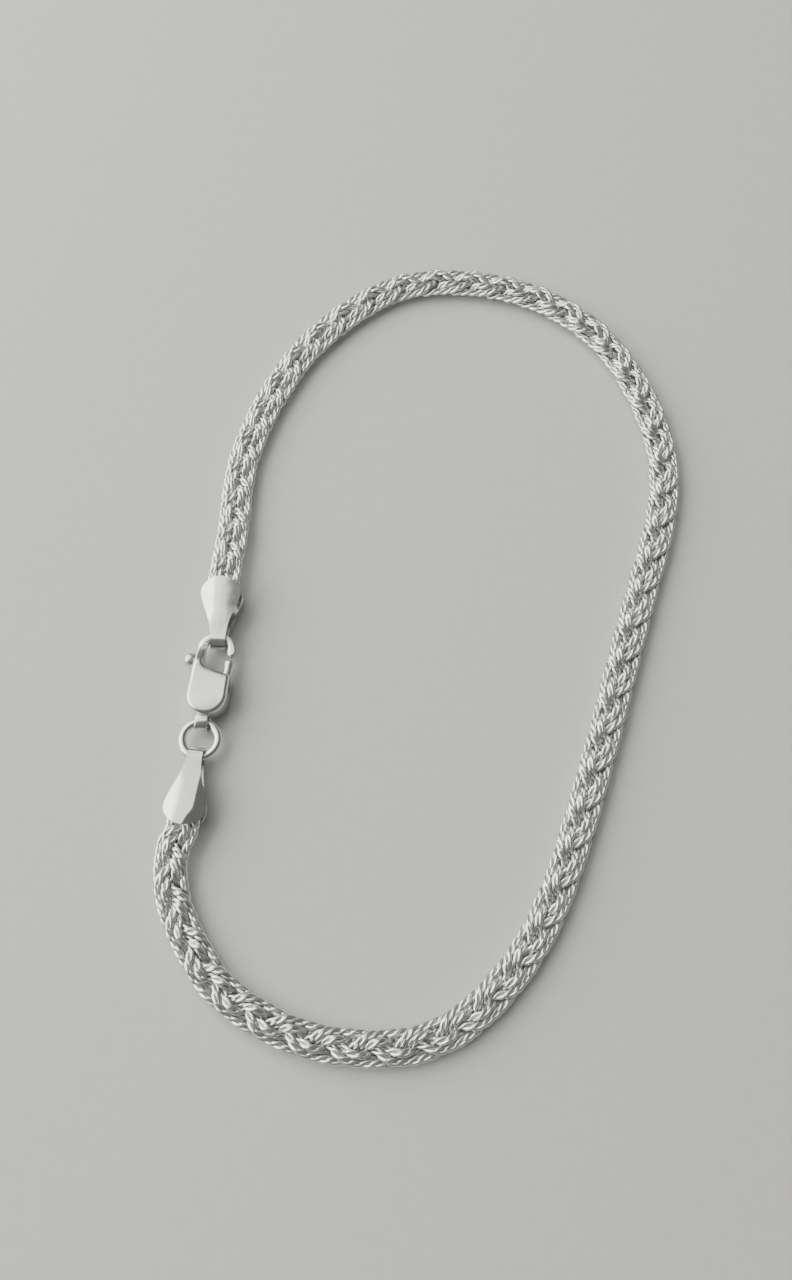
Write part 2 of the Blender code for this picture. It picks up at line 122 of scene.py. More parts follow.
class Shader:
    """One material's node tree with its Principled shader."""

    def __init__(self, name: str) -> None:
        """Makes the material with its shader and output."""
        self.material = bpy.data.materials.new(name)
        self.material.use_nodes = True
        self.tree = self.material.node_tree
        self.surface = self.tree.nodes["Principled BSDF"]

    def node(self, kind: str, settings: dict[str, object] | None = None,
             inputs: dict[int | str, object] | None = None) -> bpy.types.Node:
        """Adds any node.

        Args:
            kind: The node's type.
            settings: Its properties, which are set first.
            inputs: Values or links for its sockets, by name or number.

        Returns:
            The node.
        """
        node = self.tree.nodes.new(kind)
        for key, setting in (settings or {}).items():
            setattr(node, key, setting)
        for key, given in (inputs or {}).items():
            self.feed(node.inputs[key], given)
        return node

    def feed(self, socket: bpy.types.NodeSocket, given: object) -> None:
        """Links a Value or a socket to a socket, or else sets the socket's own number.

        Args:
            socket: The input socket.
            given: A Value, an output socket, a number or a tuple.
        """
        if isinstance(given, Value):
            self.tree.links.new(given.socket, socket)
        elif isinstance(given, bpy.types.NodeSocket):
            self.tree.links.new(given, socket)
        else:
            socket.default_value = given

    def place(self) -> bpy.types.NodeSocket:
        """The surface point in the piece's own frame, in millimetres."""
        spot = self.node("ShaderNodeTexCoord").outputs["Object"]
        scaled = self.node("ShaderNodeVectorMath", {"operation": "SCALE"}, {0: spot, "Scale": 1 / MM})
        return scaled.outputs[0]

    def noise(self, place: bpy.types.NodeSocket, scale: float, detail: float = 3.0,
              stretch: tuple[float, float, float] = (1, 1, 1)) -> Value:
        """Noise over the surface.

        Args:
            place: The point in millimetres.
            scale: Grains in each millimetre.
            detail: Octaves.
            stretch: The grains' density along each axis.

        Returns:
            The noise, about 0.5 in the middle.
        """
        pulled = self.node("ShaderNodeVectorMath", {"operation": "MULTIPLY"}, {0: place, 1: stretch})
        made = self.node("ShaderNodeTexNoise", None,
                         {"Vector": pulled.outputs[0], "Scale": scale, "Detail": detail})
        return Value(self, made.outputs[0])

    def blend(self, mask: Value, first: object, second: object) -> bpy.types.NodeSocket:
        """Mixes two colours.

        Args:
            mask: 0 gives the first colour and 1 the second.
            first: A colour or a colour socket.
            second: A colour or a colour socket.

        Returns:
            The mixed colour.
        """
        mixed = self.node("ShaderNodeMix", {"data_type": "RGBA", "clamp_factor": True},
                          {0: mask, 6: first, 7: second})
        return mixed.outputs[2]


@dataclass(frozen=True)
class SilverFinish:
    """Silver with painted shade: clean on the high places, grey in the hollows where an occlusion mask
    paints shade, with random grey mottling and fine scratches.
    """

    name: str
    slot: str
    bright: Tone
    # shade is the grey of the painted hollow shade, and also of the random mottling
    shade: Tone
    roughness: float
    roughness_spread: float
    # hollow_reach and hollow_depth set how far and how strongly the painted shade darkens the hollows
    hollow_reach: float
    hollow_depth: float
    scratch: float
    scratch_scale: float
    ripple: float
    ripple_scale: float
    cloud_scale: float = 0.55
    cloud_depth: float = 0.22
    grain_scale: float = 3.5
    grain_share: float = 0.35
    hollow_roughness: float = 0.16
    glint: Tone = (1.0, 0.99, 0.96)

    def build(self) -> bpy.types.Material:
        """The finished material."""
        shader = Shader(self.name)
        place = shader.place()
        # Painted shade: the occlusion mask darkens creases, recesses and the gaps between links towards
        # the shade tone; the noise mottle adds random grey tone on top
        open_sky = shader.node("ShaderNodeAmbientOcclusion", {"samples": 6},
                               {"Distance": self.hollow_reach * MM})
        hollow_shade = 1 - Value(shader, open_sky.outputs["AO"])
        hollow_shade = (hollow_shade * self.hollow_depth).ramp(0.05, 1.0)
        mottle = shader.noise(place, self.cloud_scale, 4.0)
        cloud = mottle.ramp(0.35, 0.75) * self.cloud_depth
        shade_and_mottle = hollow_shade + cloud * (1 - hollow_shade)
        color = shader.blend(shade_and_mottle, (*self.bright, 1.0), (*self.shade, 1.0))
        fine = shader.noise(place, self.scratch_scale, 2.0, (1.0, 0.12, 1.0))
        grain = shader.noise(place, self.grain_scale, 3.0)
        rough = (self.roughness + (mottle - 0.5) * self.roughness_spread
                 + fine.ramp(0.62, 0.78) * (0.5 * self.roughness_spread)
                 + hollow_shade * self.hollow_roughness)
        relief = fine.ramp(0.60, 0.80) * self.scratch + grain * (self.grain_share * self.scratch)
        relief = relief + shader.noise(place, self.ripple_scale, 1.0) * self.ripple
        bump = shader.node("ShaderNodeBump", None,
                           {"Strength": 1.0, "Distance": MM, "Height": relief})
        surface = shader.surface
        surface.inputs["Metallic"].default_value = 1.0
        surface.inputs["Specular Tint"].default_value = (*self.glint, 1.0)
        shader.feed(surface.inputs["Base Color"], color)
        shader.feed(surface.inputs["Roughness"], rough)
        shader.feed(surface.inputs["Normal"], bump.outputs[0])
        return shader.material


@dataclass(frozen=True)
class TableFinish:
    """Plain matt pale table."""

    name: str = "pale_table"
    tone: Tone = (0.72, 0.72, 0.70)
    speckle_share: float = 0.96

    def build(self) -> bpy.types.Material:
        """The finished material."""
        shader = Shader(self.name)
        speckle = shader.noise(shader.place(), 0.9, 2.0).ramp(0.2, 0.8)
        darker = tuple(self.speckle_share * c for c in self.tone)
        color = shader.blend(speckle, (*self.tone, 1.0), (*darker, 1.0))
        shader.feed(shader.surface.inputs["Base Color"], color)
        shader.surface.inputs["Roughness"].default_value = 0.8
        return shader.material


TAB_SILVER = SilverFinish(
    "polished_tab_silver", "tab_silver", bright=(0.87, 0.88, 0.855), shade=(0.44, 0.44, 0.41),
    roughness=0.23, roughness_spread=0.10, hollow_reach=0.9, hollow_depth=1.0,
    scratch=0.0010, scratch_scale=9.0, ripple=0.026, ripple_scale=0.75)
CLASP_SILVER = SilverFinish(
    "polished_clasp_silver", "clasp_silver", bright=(0.85, 0.864, 0.842), shade=(0.46, 0.45, 0.42),
    roughness=0.22, roughness_spread=0.06, hollow_reach=0.9, hollow_depth=1.0,
    scratch=0.0006, scratch_scale=8.0, ripple=0.004, ripple_scale=0.8)
LEVER_SILVER = SilverFinish(
    "satin_lever_silver", "lever_silver", bright=(0.80, 0.81, 0.78), shade=(0.34, 0.33, 0.31),
    roughness=0.34, roughness_spread=0.14, hollow_reach=0.7, hollow_depth=1.1,
    scratch=0.0030, scratch_scale=7.0, ripple=0.010, ripple_scale=1.6)
RING_SILVER = SilverFinish(
    "polished_ring_silver", "ring_silver", bright=(0.90, 0.91, 0.885), shade=(0.44, 0.43, 0.40),
    roughness=0.20, roughness_spread=0.12, hollow_reach=0.8, hollow_depth=1.0,
    scratch=0.0016, scratch_scale=9.0, ripple=0.006, ripple_scale=1.1)
CHAIN_SILVER = SilverFinish(
    "bright_chain_silver", "chain_silver", bright=(0.955, 0.965, 0.935), shade=(0.42, 0.42, 0.40),
    roughness=0.31, roughness_spread=0.12, hollow_reach=0.42, hollow_depth=0.95,
    scratch=0.0014, scratch_scale=10.0, ripple=0.006, ripple_scale=2.0)


# Shapes


def turned(heading: float) -> Vector:
    """The direction of a heading in degrees, on the table."""
    return Vector((math.cos(math.radians(heading)), math.sin(math.radians(heading))))


def arc(cx: float, cy: float, radius: float, start: float, end: float, steps: int) -> list[Point]:
    """Points on an arc.

    Args:
        cx: The centre's x.
        cy: The centre's y.
        radius: Its radius.
        start: The first point's angle in degrees.
        end: The last point's angle.
        steps: Spans between the points.

    Returns:
        steps + 1 points.
    """
    turns = (math.radians(start + (end - start) * i / steps) for i in range(steps + 1))
    return [(cx + radius * math.cos(t), cy + radius * math.sin(t)) for t in turns]


def smooth_path(points: Sequence[Sequence[float]], per_span: int) -> list[Vector]:
    """A smooth line through points.

    Args:
        points: The points that it passes.
        per_span: Steps between two of them.

    Returns:
        The line's points.
    """
    knots = [Vector(p) for p in points]
    knots = [2 * knots[0] - knots[1], *knots, 2 * knots[-1] - knots[-2]]
    path = []
    for a, b, c, d in zip(knots, knots[1:], knots[2:], knots[3:]):
        for i in range(per_span):
            t = i / per_span
            path.append(0.5 * (2 * b + (c - a) * t + (2 * a - 5 * b + 4 * c - d) * t * t
                               + (3 * b - a - 3 * c + d) * t ** 3))
    return [*path, knots[-2]]


def smoothstep(t: float) -> float:
    """0 below 0, 1 above 1 and smooth between."""
    t = min(1.0, max(0.0, t))
    return t * t * (3 - 2 * t)


@dataclass(frozen=True)
class Spot:
    """A piece's place: its origin in millimetres and the heading of its +Y in degrees."""

    x: float
    y: float
    heading: float
    height: float = 0.0

    def matrix(self) -> Matrix:
        """From the piece's millimetres to the row frame's metres."""
        turn = Matrix.Rotation(math.radians(self.heading - 90), 4, "Z")
        return (Matrix.Scale(MM, 4) @ Matrix.Translation((self.x, self.y, self.height)) @ turn)

    def point(self, across: float, along: float) -> Vector:
        """The table point at across and along from the origin."""
        ahead = turned(self.heading)
        return Vector((self.x, self.y)) + Vector((ahead.y, -ahead.x)) * across + ahead * along


@dataclass
class Shape:
    """Vertices and faces in millimetres that grow into one mesh object."""

    verts: list[Vector] = field(default_factory=list)
    faces: list[tuple[int, ...]] = field(default_factory=list)

    def grid(self, rows: Sequence[Sequence[Vector]], around: bool = False,
             closed: bool = False, capped: bool = False) -> None:
        """Adds a surface over rows of points.

        Args:
            rows: Rows of equally many points.
            around: Each row closes on itself.
            closed: The last row joins the first.
            capped: The first and last row are filled.
        """
        base, width, count = len(self.verts), len(rows[0]), len(rows)
        for row in rows:
            self.verts.extend(Vector(p) for p in row)
        for j in range(count if closed else count - 1):
            for i in range(width if around else width - 1):
                a, b = j * width + i, j * width + (i + 1) % width
                c, d = ((j + 1) % count) * width + (i + 1) % width, ((j + 1) % count) * width + i
                self.faces.append((base + a, base + b, base + c, base + d))
        if capped:
            self.faces.append(tuple(base + i for i in reversed(range(width))))
            self.faces.append(tuple(base + (count - 1) * width + i for i in range(width)))

    def rod(self, start: Sequence[float], end: Sequence[float], r_start: float, r_end: float,
            sides: int = 24, rings: int = 6) -> None:
        """Adds a rod with round ends.

        Args:
            start: The middle of its first ball.
            end: The middle of its last ball.
            r_start: The first ball's radius.
            r_end: The last ball's radius.
            sides: Points around it.
            rings: Rings on each round end.
        """
        a, b = Vector(start), Vector(end)
        way = (b - a).normalized() if (b - a).length > 1e-6 else Vector((0, 0, 1))
        side = way.orthogonal().normalized()
        other = way.cross(side)
        rows = []
        for middle, radius, turns in ((a, r_start, range(-rings, 1)), (b, r_end, range(0, rings + 1))):
            for k in turns:
                t = math.pi / 2 * k / rings * BALL_END
                ring_radius, shift = radius * math.cos(t), radius * math.sin(t)
                rows.append([middle + way * shift + (side * math.cos(2 * math.pi * i / sides)
                                                     + other * math.sin(2 * math.pi * i / sides))
                             * ring_radius for i in range(sides)])
        self.grid(rows, around=True, capped=True)

    def lathe(self, profile: Sequence[Point], steps: int, middle: Sequence[float]) -> None:
        """Adds a closed profile turned about the X axis.

        Args:
            profile: Points of x and radius.
            steps: Copies of it around the axis.
            middle: The axis's middle point.
        """
        rows = []
        for k in range(steps):
            t = 2 * math.pi * k / steps
            rows.append([Vector(middle) + Vector((x, r * math.cos(t), r * math.sin(t)))
                         for x, r in profile])
        self.grid(rows, around=True, closed=True)

    def piece(self, name: str, spot: Spot) -> bpy.types.Object:
        """Makes the object, with its normals outwards.

        Args:
            name: The piece's name.
            spot: Its place.

        Returns:
            The object, whose own frame is the row frame.
        """
        mesh = bpy.data.meshes.new(name)
        mesh.from_pydata([tuple(v) for v in self.verts], [], self.faces)
        work = bmesh.new()
        work.from_mesh(mesh)
        bmesh.ops.recalc_face_normals(work, faces=work.faces)
        work.to_mesh(mesh)
        work.free()
        mesh.transform(spot.matrix())
        thing = bpy.data.objects.new(name, mesh)
        bpy.context.scene.collection.objects.link(thing)
        return thing

    def loose(self, name: str) -> bpy.types.Object:
        """The object still in millimetres, for joining and cutting."""
        thing = self.piece(name, Spot(0, 0, 90))
        thing.data.transform(Matrix.Scale(1 / MM, 4))
        return thing


def rounded_box(half_x: float, half_y: float, radius: float, steps: int = 4) -> list[Point]:
    """A rectangle with round corners about the origin.

    Args:
        half_x: Half of its width.
        half_y: Half of its height.
        radius: The corners' radius.
        steps: Spans on each corner.

    Returns:
        Its points.
    """
    points: list[Point] = []
    for sx, sy, start in ((1, 1, 0), (-1, 1, 90), (-1, -1, 180), (1, -1, 270)):
        points += arc(sx * (half_x - radius), sy * (half_y - radius), radius, start, start + 90, steps)
    return points


def slab(name: str, outline: Sequence[Point], low: float, high: float, rim: float,
         segments: int) -> bpy.types.Object:
    """A flat outline made thick, with a round rim inside the outline.

    Args:
        name: The object's name.
        outline: Its points in millimetres.
        low: The underside's height.
        high: The top's height.
        rim: The rim's radius.
        segments: Steps on the rim.

    Returns:
        A mesh object in millimetres.
    """
    curve = bpy.data.curves.new(name, "CURVE")
    curve.dimensions, curve.fill_mode = "2D", "BOTH"
    curve.extrude = (high - low) / 2 - rim
    curve.bevel_depth, curve.offset, curve.bevel_resolution = rim, -rim, segments
    spline = curve.splines.new("POLY")
    spline.points.add(len(outline) - 1)
    for point, (x, y) in zip(spline.points, outline):
        point.co = (x, y, 0, 1)
    spline.use_cyclic_u = True
    source = bpy.data.objects.new(name + "_outline", curve)
    bpy.context.scene.collection.objects.link(source)
    bpy.context.view_layer.update()
    mesh = bpy.data.meshes.new_from_object(source.evaluated_get(bpy.context.evaluated_depsgraph_get()))
    bpy.data.objects.remove(source)
    work = bmesh.new()
    work.from_mesh(mesh)
    bmesh.ops.remove_doubles(work, verts=work.verts, dist=0.0005)
    bmesh.ops.recalc_face_normals(work, faces=work.faces)
    work.to_mesh(mesh)
    work.free()
    mesh.transform(Matrix.Translation((0, 0, (low + high) / 2)))
    thing = bpy.data.objects.new(name, mesh)
    bpy.context.scene.collection.objects.link(thing)
    return thing


def apply_modifiers(thing: bpy.types.Object) -> None:
    """Turns an object's modifiers into its mesh."""
    bpy.context.view_layer.update()
    evaluated = thing.evaluated_get(bpy.context.evaluated_depsgraph_get())
    old, thing.data = thing.data, bpy.data.meshes.new_from_object(evaluated)
    thing.modifiers.clear()
    bpy.data.meshes.remove(old)


def combine(thing: bpy.types.Object, other: bpy.types.Object, operation: str) -> None:
    """Joins or cuts an object with another one, which is used up.

    Args:
        thing: The object that stays.
        other: The object that it is joined or cut with.
        operation: UNION or DIFFERENCE.
    """
    boolean = thing.modifiers.new("combine", "BOOLEAN")
    boolean.operation, boolean.object, boolean.solver = operation, other, "EXACT"
    apply_modifiers(thing)
    bpy.data.objects.remove(other)


def dress(thing: bpy.types.Object, material: bpy.types.Material, finish: SilverFinish, body: str,
          *nodes: str, sharp: float = 40.0) -> bpy.types.Object:
    """Gives a piece its smooth shading, material, body and the nodes that it stands for.

    Args:
        thing: The piece.
        material: Its built finish.
        finish: The finish. Not used.
        body: The CAD body that it rides on.
        nodes: CAD nodes that it replaces.
        sharp: Edges above this angle stay sharp, in degrees.

    Returns:
        The piece.
    """
    thing.data.materials.clear()
    thing.data.materials.append(material)
    thing.data.shade_smooth()
    thing.data.set_sharp_from_angle(angle=math.radians(sharp))
    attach(thing, body)
    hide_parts(*nodes)
    LOG.info("%s: %d faces, stands for %s", thing.name, len(thing.data.polygons), ", ".join(nodes))
    return thing


# Braid


@dataclass
class CurbLink:
    """One wound link of a fine curb chain, hooked through its neighbours."""

    pitch: float = 0.85
    width: float = 0.71
    wire_wide: float = 0.35
    wire_thick: float = 0.28
    play: float = 0.02
    twist: float = 46.0
    squareness: float = 2.0
    slant: float = 0.18
    steps: int = 24
    sides: int = 8

    def points(self) -> np.ndarray:
        """The link's vertices.

        Returns:
            Rows of across, along and up, ring after ring.
        """
        half_long = (self.pitch + self.wire_thick + self.play) / 2
        half_wide = (self.width - self.wire_wide) / 2
        t = np.arange(self.steps) * 2 * math.pi / self.steps
        power = 2 / self.squareness
        along = half_long * np.sign(np.cos(t)) * np.abs(np.cos(t)) ** power
        out = half_wide * np.sign(np.sin(t)) * np.abs(np.sin(t)) ** power
        turn = math.radians(self.twist) * along / half_long
        out -= self.slant * along
        middle = np.stack([out * np.cos(turn), along, out * np.sin(turn)], 1)
        ahead = np.roll(middle, -1, 0) - np.roll(middle, 1, 0)
        ahead /= np.linalg.norm(ahead, axis=1, keepdims=True)
        up = np.stack([-np.sin(turn), np.zeros_like(turn), np.cos(turn)], 1)
        up -= ahead * np.sum(up * ahead, 1, keepdims=True)
        up /= np.linalg.norm(up, axis=1, keepdims=True)
        side = np.cross(ahead, up)
        a = np.arange(self.sides) * 2 * math.pi / self.sides + math.pi / self.sides
        rings = (middle[:, None, :] + side[:, None, :] * np.cos(a)[None, :, None] * self.wire_wide / 2
                 + up[:, None, :] * np.sin(a)[None, :, None] * self.wire_thick / 2)
        return rings.reshape(-1, 3)

    def quads(self) -> np.ndarray:
        """The link's faces, as rows of four vertex numbers."""
        j, i = np.meshgrid(np.arange(self.steps), np.arange(self.sides), indexing="ij")
        after, beside = (j + 1) % self.steps, (i + 1) % self.sides
        faces = [j * self.sides + i, j * self.sides + beside,
                 after * self.sides + beside, after * self.sides + i]
        return np.stack(faces, -1).reshape(-1, 4)


@dataclass
class Braid:
    """Three strands of two fine chains, plaited flat and laid round the table."""

    start: Point
    start_heading: float
    end: Point
    end_heading: float
    route: Sequence[Point]
    lead: float = 2.3
    plait: float = 10.4
    swing: float = 0.77
    flatness: float = 0.158
    rise: float = 0.40
    rise_in_tab: float = 0.95
    heights: tuple[tuple[int, float], ...] = ((2, 0.82), (4, 0.12))
    roll: float = 0.55
    run_height: float = 0.99
    mouth_height: float = 1.46
    settle: float = 9.0
    chain_pitch: float = 0.68
    spacing: float = 0.05
    wander: float = 0.05
    tip: float = 0.12
    facing: float = 0.20
    wobble: float = 0.15
    drift_rate: float = 0.23
    tab_hold: float = 0.6
    smoothings: int = 12
    link: CurbLink = field(default_factory=CurbLink)

    def middle(self) -> tuple[np.ndarray, np.ndarray]:
        """The braid's middle line on the table.

        Returns:
            Its points and their distances from the start, both evenly spaced.
        """
        ahead, back = turned(self.start_heading), turned(self.end_heading)
        first, last = Vector(self.start), Vector(self.end)
        chosen = [first, first + ahead * self.lead, *(Vector(p) for p in self.route),
                  last - back * self.lead, last]
        fine = np.array([tuple(p) for p in smooth_path(chosen, 24)])
        run = np.concatenate([[0], np.cumsum(np.linalg.norm(np.diff(fine, axis=0), axis=1))])
        at = np.linspace(0, run[-1], round(run[-1] / self.spacing) + 1)
        line = np.stack([np.interp(at, run, fine[:, k]) for k in (0, 1)], 1)
        for _ in range(self.smoothings):
            line[1:-1] = (line[:-2] + 2 * line[1:-1] + line[2:]) / 4
        return line, at

    def drift(self, at: np.ndarray, seed: float) -> np.ndarray:
        """Slow hand-made wandering along a chain, from -1 to 1; each seed has its own line of noise."""
        return np.array([noise.noise(Vector((a * self.drift_rate, seed * 7.31, 1.7))) for a in at])

    def chains(self, strand: int) -> list[tuple[np.ndarray, np.ndarray, np.ndarray]]:
        """The two chains of a strand.

        Args:
            strand: 0, 1 or 2.

        Returns:
            For each chain its points and, at each point, the way across it and its roll.
        """
        line, at = self.middle()
        ahead = np.gradient(line, axis=0)
        ahead /= np.linalg.norm(ahead, axis=1, keepdims=True)
        across = np.stack([ahead[:, 1], -ahead[:, 0]], 1)
        from_end = np.minimum(at, at[-1] - at)
        t = np.clip((from_end - self.lead * self.tab_hold) / self.settle, 0, 1)
        settled = t * t * (3 - 2 * t)
        phase = 2 * math.pi * (at / self.plait + strand / 3)
        swing = (np.sin(phase) + self.flatness * np.sin(3 * phase)) * self.swing / (1 - self.flatness)
        lift = -sum(share * np.sin(waves * phase) for waves, share in self.heights)
        lift = lift * self.rise * (self.rise_in_tab + (1 - self.rise_in_tab) * settled)
        height = self.mouth_height + (self.run_height - self.mouth_height) * settled + lift
        centre = np.concatenate([line + across * swing[:, None], height[:, None]], 1)
        way = np.gradient(centre, axis=0)
        way /= np.linalg.norm(way, axis=1, keepdims=True)
        level = np.stack([way[:, 1], -way[:, 0], np.zeros(len(way))], 1)
        level /= np.linalg.norm(level, axis=1, keepdims=True)
        up = np.cross(level, way)
        roll = -self.roll * np.cos(3 * phase)
        ribbon = level * np.cos(roll)[:, None] + up * np.sin(roll)[:, None]
        made = []
        for side in (-1, 1):
            wander = self.drift(at, strand * 2 + side) * self.wander
            path = centre + ribbon * (side * self.chain_pitch / 2 + wander)[:, None]
            spin = (self.facing * roll - self.tip * np.sin(phase)
                    + self.drift(at, 11 + strand * 2 + side) * self.wobble)
            made.append((path, level, spin))
        return made

    def links(self, path: np.ndarray, ribbon: np.ndarray, spin: np.ndarray,
              shift: float) -> np.ndarray:
        """Sets links along a chain.

        Args:
            path: The chain's points.
            ribbon: The way across it at each point.
            spin: The links' roll about the chain at each point, in radians.
            shift: The first link's place, in pitches.

        Returns:
            The vertices of all links.
        """
        run = np.concatenate([[0], np.cumsum(np.linalg.norm(np.diff(path, axis=0), axis=1))])
        count = int(run[-1] / self.link.pitch - 0.5)
        at = (np.arange(count) + 0.25 + shift) * run[-1] / (count + 0.5)
        spots = np.stack([np.interp(at, run, path[:, k]) for k in range(3)], 1)
        reach = self.link.pitch * 0.5
        before = np.stack([np.interp(at - reach, run, path[:, k]) for k in range(3)], 1)
        after = np.stack([np.interp(at + reach, run, path[:, k]) for k in range(3)], 1)
        ahead = after - before
        ahead /= np.linalg.norm(ahead, axis=1, keepdims=True)
        side = np.stack([np.interp(at, run, ribbon[:, k]) for k in range(3)], 1)
        side -= ahead * np.sum(side * ahead, 1, keepdims=True)
        side /= np.linalg.norm(side, axis=1, keepdims=True)
        up = np.cross(side, ahead)
        turn = np.interp(at, run, spin)[:, None]
        side, up = side * np.cos(turn) + up * np.sin(turn), up * np.cos(turn) - side * np.sin(turn)
        axes = np.stack([side, ahead, up], 1)
        return (spots[:, None, :] + self.link.points() @ axes).reshape(-1, 3)

    def build(self) -> list[bpy.types.Object]:
        """Makes and dresses one piece for each strand."""
        material = CHAIN_SILVER.build()
        made = []
        for strand in range(3):
            chains = self.chains(strand)
            verts = np.concatenate([self.links(*chain, shift) for chain, shift in zip(chains, (0, 0.5))])
            per_link = self.link.steps * self.link.sides
            bases = np.arange(len(verts) // per_link)[:, None, None] * per_link
            faces = (self.link.quads()[None] + bases).reshape(-1, 4)
            mesh = bpy.data.meshes.new(f"chain_pair_{strand + 1}")
            mesh.from_pydata((verts * MM).tolist(), [], faces.tolist())
            thing = bpy.data.objects.new(mesh.name, mesh)
            bpy.context.scene.collection.objects.link(thing)
            made.append(dress(thing, material, CHAIN_SILVER, "closed_loop", f"strand_{strand + 1}",
                              sharp=180))
            LOG.info("%s has %d links", thing.name, len(verts) // per_link)
        return made


# Tabs


class Leaf(Enum):
    """The two leaves of a folded tab."""

    LOWER = -1
    UPPER = 1


@dataclass
class FoldedTab:
    """A silver strip folded over a bar, its two leaves pressed round the braid's end."""

    name: str
    spot: Spot
    length: float = 6.38
    width: float = 3.45
    sheet: float = 0.26
    fold: float = 0.88
    squareness: float = 2.1
    middle: float = 1.20
    mouth: float = 2.86
    crease: float = 0.62
    crease_end: float = 0.62
    slopes: Point = (0.22, 0.30)
    softness: Point = (0.25, 0.22)
    under_slope: float = 0.30
    crease_turn: float = 0.76
    droop_start: float = 0.40
    droop_reach: float = 3.4
    solder_width: float = 1.1
    solder_length: float = 1.7
    solder_depth: float = 2.3
    solder_lift: float = 0.06
    solder_corner: float = 0.2
    steps: int = 34
    crowding: float = 1.7
    columns: int = 36
    # Half widths as a share, from the fold to the round end
    outline: tuple[Point, ...] = (
        (0.00, 0.365), (0.16, 0.39), (0.31, 0.465), (0.45, 0.62), (0.60, 0.83), (0.72, 0.97),
        (0.80, 1.00), (0.88, 0.90), (0.95, 0.62), (0.985, 0.34), (1.0, 0.03),
    )

    def half_width(self, y: float) -> float:
        """Half of the tab's width at y along it."""
        at = (self.fold - y) / self.length
        fine = self._fine_outline()
        return float(np.interp(at, [p.x for p in fine], [p.y for p in fine])) * self.width / 2

    def _fine_outline(self) -> list[Vector]:
        """The outline's table drawn through smoothly."""
        return smooth_path(self.outline, 10)

    def side_line(self) -> list[tuple[float, float, Leaf]]:
        """The sheet's middle line from the side, from the upper leaf's end to the lower leaf's.

        Returns:
            Points of y and height, with the leaf that each is on.
        """
        radius = self.fold - self.sheet / 2
        end = self.fold - self.length
        top = self.mouth - self.sheet / 2
        spacing = [1 - (1 - i / self.steps) ** self.crowding for i in range(self.steps + 1)]
        upper = [(end * s, self.middle + radius + (top - self.middle - radius) * s) for s in spacing]
        lower = [(end * s, self.middle - radius) for s in spacing]
        points = [(y, z, Leaf.UPPER) for y, z in reversed(upper)]
        for y, z in arc(0, 0, 1, 90, -90, 24)[1:-1]:
            y, z = (radius * math.copysign(abs(v) ** (2 / self.squareness), v) for v in (y, z))
            points.append((y, self.middle + z, Leaf.UPPER if z > 0 else Leaf.LOWER))
        return points + [(y, z, Leaf.LOWER) for y, z in lower]

    def droop(self, x: float, y: float, leaf: Leaf) -> float:
        """How far the sheet's sides bend towards the other leaf.

        Args:
            x: The way across from the middle.
            y: The place along the tab.
            leaf: Which leaf it is.

        Returns:
            The bend, in millimetres.
        """
        side = 0 if x * leaf.value < 0 else 1
        soft = self.softness[side]
        share = (self.fold - y) / self.length
        reach = smoothstep((share - self.crease_turn) / (1 - self.crease_turn))
        crease = self.crease + (self.crease_end - self.crease) * reach * side
        over = soft * math.log1p(math.exp(min(40.0, (abs(x) - crease) / soft)))
        steep = self.slopes[side] if leaf is Leaf.UPPER else self.under_slope
        return steep * over * smoothstep((self.droop_start - y) / self.droop_reach)

    def sheet_rows(self) -> list[list[Vector]]:
        """The sheet's middle surface as rows across it."""
        rows = []
        for y, z, leaf in self.side_line():
            half = self.half_width(y)
            row = []
            for i in range(self.columns + 1):
                share = math.sin(math.pi / 2 * (2 * i / self.columns - 1))
                x = half * share
                row.append(Vector((x, y, z - leaf.value * self.droop(x, y, leaf))))
            rows.append(row)
        return rows

    def solder(self) -> list[list[Vector]]:
        """The solder that holds the braid's end between the leaves, as rings along it."""
        rings = []
        start = self.fold - self.length + self.solder_depth
        for s, size in ((0.0, 0.55), (0.08, 0.85), (0.3, 1.0), (0.8, 1.0), (1.0, 0.8)):
            y = start + self.solder_length * s
            half = self.solder_width / 2 * size + 0.12
            tall = (self.fold - 0.10) * (0.9 + 0.1 * size)
            rings.append([Vector((x, y, self.middle + self.solder_lift + z))
                          for x, z in rounded_box(half, tall, self.solder_corner)])
        return rings

    def build(self, material: bpy.types.Material) -> bpy.types.Object:
        """Makes and dresses the tab.

        Args:
            material: The tab's built finish.

        Returns:
            The piece.
        """
        shape = Shape()
        shape.grid(self.sheet_rows())
        tab = shape.piece(self.name, self.spot)
        thick = tab.modifiers.new("sheet", "SOLIDIFY")
        thick.thickness, thick.offset, thick.use_even_offset = self.sheet * MM, 0.0, True
        edge = tab.modifiers.new("edge", "BEVEL")
        edge.width, edge.segments, edge.limit_method = 0.07 * MM, 3, "ANGLE"
        edge.angle_limit = math.radians(55)
        apply_modifiers(tab)
        block = Shape()
        block.grid(self.solder(), around=True, capped=True)
        inner = block.piece(self.name + "_solder", self.spot)
        with bpy.context.temp_override(active_object=tab, selected_editable_objects=[tab, inner]):
            bpy.ops.object.join()
        return dress(tab, material, TAB_SILVER, "closed_loop", self.name.replace("_leaves", ""))


# Clasp


